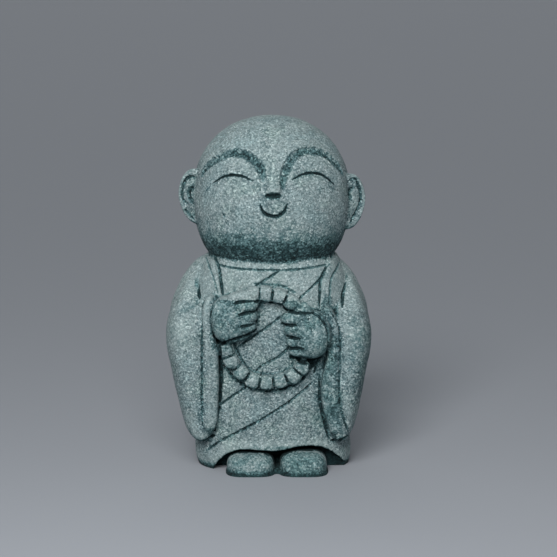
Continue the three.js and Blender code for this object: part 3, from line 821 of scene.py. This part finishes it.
# %% Lines along and across the strands
def beside(strand, away):
    """A line that follows a strand at a distance, to the left of its way."""
    places = np.array(strand)
    along = np.gradient(places, axis=0)
    along /= np.linalg.norm(along, axis=1, keepdims=True)
    return places + away * np.column_stack([-along[:, 1], along[:, 0]])


def gaps_of(strand, reach=2.6):
    """The dark gap between each bead and the next, as a short line across the strand."""
    places = np.array(strand)
    middles, ahead = (places[1:] + places[:-1]) / 2, places[1:] - places[:-1]
    across = np.column_stack([ahead[:, 1], -ahead[:, 0]])
    across /= np.linalg.norm(ahead, axis=1, keepdims=True)
    return [[m + half, m, m - half] for m, half in zip(middles, across * reach)]


for gap in gaps_of(LOWER_STRAND) + gaps_of(UPPER_STRAND):
    cut_line(gap, 0.9, 1.1, (0.3, 0.3), wash_and_painted_shade=0.8)
# The line on the outer side of the lower strand is painted shadow of the beads; the next two lines hold
# wash.
cut_line(beside(LOWER_STRAND, -3.1), 1.5, 0.5, (0.05, 0.05), on=robe_block, wash_and_painted_shade=0.7)
cut_line(beside(LOWER_STRAND, 2.9), 0.9, 0.3, (0.05, 0.05), on=robe_block, wash_and_painted_shade=0.45)
cut_line(beside(UPPER_STRAND, 3.0), 0.9, 0.3, (0.1, 0.02), on=robe_block, wash_and_painted_shade=0.6)

# %% [markdown]
# ## Between the fingers
# Short grooves part the fingers. They start deep at the fingertips and run out on the back of the
# hand. One more groove follows the lower edge of the upper beads from thumb to thumb, filled dark
# as the beads' painted shadow.

# %% Lines of the hands
FINGER_LINES = (
    ([(-12.4, 59.6), (-9.0, 60.2), (-5.8, 60.4)], 0.7),
    ([(-10.9, 55.8), (-8.5, 56.3), (-4.8, 56.8)], 0.8),
    ([(-10.4, 51.8), (-8.2, 52.2), (-5.6, 52.6)], 0.9),
    ([(3.3, 52.0), (6.0, 52.0), (8.4, 52.0)], 0.6),
    ([(5.2, 47.7), (7.0, 47.7), (9.7, 47.8)], 0.8),
    ([(5.7, 43.9), (8.0, 44.1), (11.0, 44.5)], 0.7),
    ([(7.6, 56.0), (10.4, 56.3), (13.2, 56.1)], 0.45),
)
for places, deep in FINGER_LINES:
    cut_line(places, 1.2, deep + 0.1, (0.15, 0.35), wash_and_painted_shade=1.2)
# The line from thumb to thumb is painted shadow under the upper beads.
THUMB_TO_THUMB = [(-6.0, 60.3), (-1.0, 59.3), (3.6, 58.6), (5.2, 56.7), (8.4, 56.4)]
cut_line(THUMB_TO_THUMB, 1.3, 0.9, (0.05, 0.1), wash_and_painted_shade=1.1)
print(len(cuts), "spots on all the lines")

# %% [markdown]
# ## Fine faces only where the lines go
# The even skin has far more faces than a smooth shoulder needs, and still too few for a groove a
# millimetre wide. So the faces near a line are left alone while Decimate thins all the rest, and then
# those right beside a line are split once more.

# %% Thin the skin away from the lines
line_tree = KDTree(len(cuts))
for i, cut in enumerate(cuts):
    line_tree.insert(cut[:3], i)
line_tree.balance()


def near_line(spot, extra):
    """Whether a spot lies within a line's half width and a little extra."""
    _, i, away = line_tree.find(spot)
    return away < cuts[i][3] + extra


away = statue.vertex_groups.new(name="away from the lines")
away.add([v.index for v in statue.data.vertices if not near_line(v.co, 0.4)], 1, "REPLACE")
finish_with(statue, "DECIMATE", decimate_type="COLLAPSE", ratio=0.25, vertex_group=away.name)
statue.vertex_groups.clear()

# %% Cut level at the floor, and split the faces beside a line
only(statue)
bpy.ops.object.mode_set(mode="EDIT")
bpy.ops.mesh.select_all(action="SELECT")
bpy.ops.mesh.bisect(plane_co=(0, 0, 0), plane_no=(0, 0, 1), clear_inner=True, use_fill=True)
bpy.ops.mesh.select_mode(type="FACE")
bpy.ops.mesh.select_all(action="DESELECT")
edit = bmesh.from_edit_mesh(statue.data)
for face in edit.faces:
    if near_line(face.calc_center_median(), 0.15):
        face.select_set(True)
bmesh.update_edit_mesh(statue.data)
bpy.ops.mesh.subdivide(number_cuts=1)
bpy.ops.mesh.select_all(action="SELECT")
bpy.ops.mesh.quads_convert_to_tris(quad_method="BEAUTY", ngon_method="BEAUTY")
bpy.ops.object.mode_set(mode="OBJECT")
print("split to", len(statue.data.vertices), "points")

# %% Cut the lines
spots = spots_of(statue)
normals = np.empty(len(spots) * 3, dtype=np.float32)
statue.data.vertices.foreach_get("normal", normals)
normals = normals.reshape(-1, 3).astype(float)
depth = np.zeros(len(spots))
wash_and_painted_shade = np.zeros(len(spots))
for v, spot in enumerate(spots):
    _, i, away = line_tree.find(spot)
    half, deep, sharp, dark = cuts[i][3:]
    if away < half:
        depth[v] = deep * (1 - (away / half) ** sharp) ** (1 / sharp)
    # The dark a line leaves is wash in most lines, and painted shade in those under fists, beads and
    # nose and in the slots.
    if away < half * 1.2:
        wash_and_painted_shade[v] = dark * (1 - away / half / 1.2) ** 0.4
move_spots(statue, spots - normals * depth[:, None])
print("deepest cut", round(depth.max(), 2), "mm")

# %% [markdown]
# ## Unevenness
# A casting from a carved model is never quite even. Two fields of procedural noise move the skin:
# one as wide as a thumb print and a fraction of a millimetre deep, and one of about the grain.

# %% Uneven surface
for name, size, strength in (("hand_work", 7.0, 0.3), ("coarse_grain", 2.0, 0.12)):
    field = bpy.data.textures.new(name, "CLOUDS")
    field.noise_scale = size
    field.noise_depth = 1
    moved = {"texture": field, "texture_coords": "LOCAL", "strength": strength, "mid_level": 0.5}
    finish_with(statue, "DISPLACE", **moved)

# %% The foot is ground level again
GROUND_LEVEL_BELOW = 0.12
spots = spots_of(statue)
spots[:, 2] = np.where(spots[:, 2] < GROUND_LEVEL_BELOW, 0, spots[:, 2])
move_spots(statue, spots)
print("lowest point at", round(spots[:, 2].min(), 3), "mm")

# %% [markdown]
# ## Where the dark wash gathers, and where shade and light are painted
# The real figure was washed with a thin dark green that stayed in the lines and hollows and was
# wiped off the high places. How hollow a place is comes from comparing it with a smoothed copy of
# the skin: if the copy lies outside, the place is a hollow. The result is kept on the points as an
# attribute that the material reads, together with painted shade and painted light added below.

# %% Which points are neighbours
edges = np.empty(len(statue.data.edges) * 2, dtype=np.int32)
statue.data.edges.foreach_get("vertices", edges)
edges = edges.reshape(-1, 2)
links = np.bincount(edges.ravel(), minlength=len(spots))[:, None]


def spread(values, rounds):
    """Each point moves to the mean of its neighbours, again and again."""
    one, other = edges.T
    for _ in range(rounds):
        total = np.column_stack([
            np.bincount(one, column[other], len(values)) + np.bincount(other, column[one], len(values))
            for column in values.T
        ])
        values = 0.5 * values + 0.5 * total / links
    return values


# %% How hollow each point is
spots = spots_of(statue)
normals = np.array([v.normal for v in statue.data.vertices])
hollow = ((spread(spots, 40) - spots) * normals).sum(axis=1)
hollow = spread(hollow[:, None], 2)[:, 0]
x, y, z = spots.T
facing_down = -normals[:, 2]
print("hollows from", round(hollow.min(), 2), "to", round(hollow.max(), 2), "mm")


def rising(values, start, end):
    """0 up to start, 1 from end on, and a straight rise between. It falls if end is the smaller."""
    return np.clip((values - start) / (end - start), 0, 1)


# %% [markdown]
# Besides the hollows, some places are made darker or lighter. Every face that turns downwards, the
# fists' lower sides among them, is darkened as painted shade, and the stone next to the floor as
# painted contact shadow. The chin keeps wash and is darkened further as painted shade. The recess
# behind the hem is painted nearly black as shade. The fists and feet keep a thin film of wash, the
# right foot more as painted shade, and the robe and band right of the ring and the right sleeve are
# darkened as painted shade. The chest and shoulders are made paler as painted light.

# %% Painted shade on undersides, by the floor and behind the hem, and wash with shade on the chin
robe_front = front_at(robe_block, x, z)
pooled = rising(hollow, 0.16, 0.86) ** 0.8
# The chin: real wash and painted shade of the underside together.
chin_wash_and_shade = 0.62 * rising(z, 91, 77) * (z > COLLAR - 3) * rising(facing_down, 0, 0.38)
# Painted shade on every face that turns downwards.
under = 0.6 * rising(facing_down, 0.2, 0.8)
# Painted contact shadow next to the floor.
painted_contact_shadow = rising(z, 2.6, 0) ** 0.7
# Painted shade in the recess behind the hem.
behind_hem = (y > robe_front + 1) * (y < hem_front + HEM_RECESS + 0.5)
painted_hem_shade = 0.9 * (z < 9.6) * behind_hem * (np.abs(x - 2) < 24)

# %% A thin film of wash on fists and feet, and painted shade on the right foot, strip and sleeve
handled = np.clip((z - 40) / 4, 0.4, 1) * (z < 60.5) * (y < robe_front - 1.6) * (np.abs(x) < 20.5)
# Both feet keep a thin film of wash; the right foot's larger share is painted shade.
feet_wash_and_shade = (z < 9) * (y < hem_front - 0.5) * np.where(x > 2, 0.38, 0.25)
# Painted shade on the robe and band right of the ring and on the right sleeve, away from the key light.
painted_shade_right_strip = 0.38 * rising(x, 13, 18) * rising(x, 24.5, 22.5) * rising(z, 10, 18) * (z < 48) * (y < -14)
painted_shade_right_sleeve = 0.26 * rising(x, 24, 28) * rising(z, 18, 30) * rising(z, 56, 48) * (y < 2)
film_and_painted_shade = np.maximum.reduce([0.32 * handled, feet_wash_and_shade, painted_shade_right_strip, painted_shade_right_sleeve])

# %% All the wash and painted shade, and painted light on chest and shoulders
wash_and_painted_shade = np.clip(np.maximum.reduce([wash_and_painted_shade, pooled, under, painted_contact_shadow, chin_wash_and_shade, painted_hem_shade, film_and_painted_shade]), 0, 1)
# Painted light: the chest and shoulders are made paler where the light falls.
painted_light_chest = 0.85 * rising(z, 50, 60) * rising(z, COLLAR + 1, COLLAR - 1) * (handled == 0)
# Wear on the high places and the painted light on chest and shoulders are kept together.
wear_and_painted_light = np.clip(np.maximum((-hollow - 0.1) / 0.6, painted_light_chest), 0, 1)
for name, values in (("wash_and_painted_shade", wash_and_painted_shade), ("wear_and_painted_light", wear_and_painted_light)):
    kept = statue.data.attributes.new(name, "FLOAT", "POINT")
    kept.data.foreach_set("value", values.astype(np.float32))
    print(name, "is", round(float(values.mean()), 2), "on the whole")

# %% [markdown]
# ## The finished statue in the row's frame
# The whole piece comes to metres and over the middle of its box, with its place in its mesh. It
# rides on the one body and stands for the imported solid.

# %% To metres, and onto the body
statue.data.transform(Matrix.Scale(MILLIMETRE, 4) @ Matrix.Translation(AXIS))
for face in statue.data.polygons:
    face.use_smooth = True
statue.data.update()
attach(statue, "root")
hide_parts("jizo_statue")
print("faults mended in the mesh:", statue.data.validate())
statue.data.calc_loop_triangles()
print("statue has", len(statue.data.loop_triangles), "triangles")

# %% [markdown]
# ## The stone
# The material is cast granite-like stone: grains of quartz and dark mineral about half a millimetre
# across in a green-grey ground, matt all over with a faint glint on the quartz. An image of stone
# would stretch or show seams on a round head, and noise alone looks like cloud. So each grain is
# one cell of a Voronoi pattern, with its own colour, and the speckle has the size of the real grain.

# %% Colours and nodes
def linear(hex_colour):
    """An sRGB hex colour as linear red, green, blue and alpha."""
    channels = [int(hex_colour[i : i + 2], 16) / 255 for i in (0, 2, 4)]
    return (*[c / 12.92 if c <= 0.04045 else ((c + 0.055) / 1.055) ** 2.4 for c in channels], 1)


def add(tree, kind, settings=None, inputs=None, stops=()):
    """A node with its settings. An input is a value or a socket to link from. Stops are a ramp's."""
    node = tree.nodes.new(kind)
    for name, value in (settings or {}).items():
        setattr(node, name, value)
    for name, value in (inputs or {}).items():
        if isinstance(value, bpy.types.NodeSocket):
            tree.links.new(value, node.inputs[name])
        else:
            node.inputs[name].default_value = value
    if stops:
        elements = node.color_ramp.elements
        while len(elements) < len(stops):
            elements.new(0.5)
        for element, (at, colour) in zip(elements, stops):
            element.position = at
            element.color = linear(colour)
    return node


# %% [markdown]
# The ground of the stone is made from two sizes of grain laid over each other, half a millimetre
# and a third of one. Most grains are middling green-grey, a few are nearly black and a few nearly
# white, and a ramp gives each its share. Broad patches a centimetre wide shift the tone a little,
# because a casting is never mixed quite evenly.

# %% Grains of the cast stone
GRAIN, FINE_GRAIN, PATCH = 0.53 * MILLIMETRE, 0.34 * MILLIMETRE, 9 * MILLIMETRE
GROUND = [(0.0, "2c474c"), (0.2, "4d696e"), (0.5, "71898d"), (0.8, "96abad"), (1.0, "d4e0df")]
SPECKS = [(0.0, "304649"), (0.35, "5f777b"), (0.7, "8ca3a6"), (1.0, "e2ebea")]
PATCHES = [(0.3, "6f8386"), (0.5, "808080"), (0.7, "8f9a90")]
COLOUR_MIX, FACTOR, FIRST, SECOND = {"data_type": "RGBA"}, 0, 6, 7

stone = bpy.data.materials.new("cast_green_grey_stone")
stone.use_nodes = True
tree = stone.node_tree
tree.nodes.clear()
place = add(tree, "ShaderNodeTexCoord").outputs["Object"]
grain_colours = []
picks = []
for size, stops in ((GRAIN, GROUND), (FINE_GRAIN, SPECKS)):
    cells = add(tree, "ShaderNodeTexVoronoi", inputs={"Vector": place, "Scale": 1 / size})
    split = add(tree, "ShaderNodeSeparateColor", inputs={"Color": cells.outputs["Color"]})
    picks.append(split.outputs["Red"])
    ramp = add(tree, "ShaderNodeValToRGB", inputs={"Fac": picks[-1]}, stops=stops)
    grain_colours.append(ramp.outputs["Color"])
print("grains", GRAIN, "and", FINE_GRAIN, "m across")

# %% Two sizes of grain together, with broad patches
grains_mixed = {FACTOR: 0.45, FIRST: grain_colours[0], SECOND: grain_colours[1]}
speckled = add(tree, "ShaderNodeMix", COLOUR_MIX, grains_mixed).outputs[2]
cloudy = {"Vector": place, "Scale": 1 / PATCH, "Detail": 3, "Roughness": 0.55}
patches = add(tree, "ShaderNodeTexNoise", inputs=cloudy).outputs["Fac"]
patch_tone = add(tree, "ShaderNodeValToRGB", inputs={"Fac": patches}, stops=PATCHES).outputs["Color"]
overlaid = {FACTOR: 0.5, FIRST: speckled, SECOND: patch_tone}
toned = add(tree, "ShaderNodeMix", COLOUR_MIX | {"blend_type": "OVERLAY"}, overlaid).outputs[2]

# %% [markdown]
# Worn high places, and the chest and shoulders as painted light, go a little towards pale dust. The
# dark wash, with the painted shade in it, is multiplied over the grain, so that the speckle still
# shows through it, as it does under a thin glaze. A plain mix with a dark colour would hide the
# grain. The wash and painted shade break up in smears three millimetres wide, and the lightest
# grains take least of it.

# %% Wear with painted light, and the dark wash with painted shade
SMEAR = 3.2 * MILLIMETRE
# Tints for the dark wash and the painted shade, multiplied over the stone.
WASH_AND_SHADE_TINTS = [(0.32, "ffffff"), (0.62, "aac8cb"), (0.86, "557a7e"), (1.0, "305458")]
wear_and_light_share = add(tree, "ShaderNodeAttribute", {"attribute_name": "wear_and_painted_light"}).outputs["Fac"]
share = add(tree, "ShaderNodeMath", {"operation": "MULTIPLY"}, {0: wear_and_light_share, 1: 0.32}).outputs[0]
# The pale dust colour stands for wear and for painted light on chest and shoulders.
dusted_and_lit = {FACTOR: share, FIRST: toned, SECOND: linear("b4c3c1")}
worn_and_lit = add(tree, "ShaderNodeMix", COLOUR_MIX, dusted_and_lit).outputs[2]
wash_and_shade_share = add(tree, "ShaderNodeAttribute", {"attribute_name": "wash_and_painted_shade"}).outputs["Fac"]
less_on_light = {0: picks[0], 1: -0.3, 2: wash_and_shade_share}
broken = add(tree, "ShaderNodeMath", {"operation": "MULTIPLY_ADD"}, less_on_light).outputs[0]
smeary = {"Vector": place, "Scale": 1 / SMEAR, "Detail": 3, "Roughness": 0.6}
smears = add(tree, "ShaderNodeTexNoise", inputs=smeary).outputs["Fac"]
with_smears = {0: smears, 1: 0.8, 2: broken}
uneven = add(tree, "ShaderNodeMath", {"operation": "MULTIPLY_ADD"}, with_smears).outputs[0]
wash_and_shade_tint = add(tree, "ShaderNodeValToRGB", inputs={"Fac": uneven}, stops=WASH_AND_SHADE_TINTS).outputs["Color"]
glazed_and_shaded = {FACTOR: 1.0, FIRST: worn_and_lit, SECOND: wash_and_shade_tint}
washed_and_shaded = add(tree, "ShaderNodeMix", COLOUR_MIX | {"blend_type": "MULTIPLY"}, glazed_and_shaded).outputs[2]

# %% [markdown]
# The grains also stand a little proud of each other. That relief is a tenth of a millimetre, too
# fine for the mesh, so a bump from a noise of 0.8 mm and from the grains gives it. Stone of this
# kind is matt, and only the brightest fine grains are smooth enough to glint.

# %% Relief and gloss of the grains
LUMP, RELIEF = 0.8 * MILLIMETRE, 0.16 * MILLIMETRE
lumpy = {"Vector": place, "Scale": 1 / LUMP, "Detail": 4, "Roughness": 0.7}
lumps = add(tree, "ShaderNodeTexNoise", inputs=lumpy).outputs["Fac"]
stacked = {0: picks[0], 1: 0.5, 2: lumps}
height = add(tree, "ShaderNodeMath", {"operation": "MULTIPLY_ADD"}, stacked).outputs[0]
bumped = {"Strength": 0.8, "Distance": RELIEF, "Height": height}
bump = add(tree, "ShaderNodeBump", inputs=bumped).outputs["Normal"]
glint = {"Value": picks[1], "From Min": 0.8, "From Max": 1.0, "To Min": 0.93, "To Max": 0.6}
gloss = add(tree, "ShaderNodeMapRange", inputs=glint).outputs["Result"]
surface = add(tree, "ShaderNodeBsdfPrincipled", inputs={
    "Base Color": washed_and_shaded, "Roughness": gloss, "IOR": 1.5, "Specular IOR Level": 0.35, "Normal": bump,
})
add(tree, "ShaderNodeOutputMaterial", inputs={"Surface": surface.outputs["BSDF"]})
statue.data.materials.clear()
statue.data.materials.append(stone)
print(stone.name, "has", len(tree.nodes), "nodes")

# %% [markdown]
# ## The floor
# The figure stands on a plain pale floor that runs on far behind it, like a sheet of studio paper.
# Paper is matt and has no pattern that would show at this distance.

# %% Floor of pale studio paper
bpy.ops.object.select_all(action="DESELECT")
bpy.ops.mesh.primitive_plane_add(size=60)
floor = bpy.context.object
floor.name = "floor"
paper = bpy.data.materials.new("pale_studio_paper")
paper.use_nodes = True
matt = paper.node_tree.nodes["Principled BSDF"]
matt.inputs["Base Color"].default_value = linear("9da1a7")
matt.inputs["Roughness"].default_value = 0.95
matt.inputs["Specular IOR Level"].default_value = 0.1
floor.data.materials.append(paper)
print("floor is", round(floor.dimensions.x), "m wide")

# %% [markdown]
# ## The light
# The key light comes from the upper left in front, and a weaker, broader one from behind keeps the
# back readable. Both are suns with a wide angle, since that gives soft shadows and the same light
# at every distance. A small panel near the figure adds a soft shine from above, and an even sky
# fills the shadows.

# %% Two soft suns
def soft_sun(name, left, up, strength, width):
    """A broad light from so many degrees left of the camera and up from the floor."""
    lamp = bpy.data.lights.new(name, "SUN")
    lamp.energy = strength
    lamp.angle = math.radians(width)
    light = bpy.data.objects.new(name, lamp)
    bpy.context.scene.collection.objects.link(light)
    light.rotation_euler = (math.radians(90 - up), 0, -math.radians(left))


soft_sun("key", left=14, up=33, strength=1.3, width=24)
soft_sun("back", left=168, up=22, strength=0.5, width=60)

# %% Panel above and even sky
FACE_CENTRE = Vector((0, 0, 0.085))
SKY_STRENGTH = 0.26
panel = bpy.data.lights.new("panel", "AREA")
panel.energy = 1.0
panel.size = 0.22
above = bpy.data.objects.new("panel", panel)
bpy.context.scene.collection.objects.link(above)
above.location = (-0.03, -0.33, 0.27)
above.rotation_euler = (FACE_CENTRE - above.location).to_track_quat("-Z", "Y").to_euler()
sky = bpy.data.worlds.new("studio")
sky.use_nodes = True
sky.node_tree.nodes["Background"].inputs["Color"].default_value = linear("dfe4ea")
sky.node_tree.nodes["Background"].inputs["Strength"].default_value = SKY_STRENGTH
bpy.context.scene.world = sky
bpy.context.scene.view_settings.view_transform = "Standard"
print("panel is", round((FACE_CENTRE - above.location).length, 2), "m from the face")
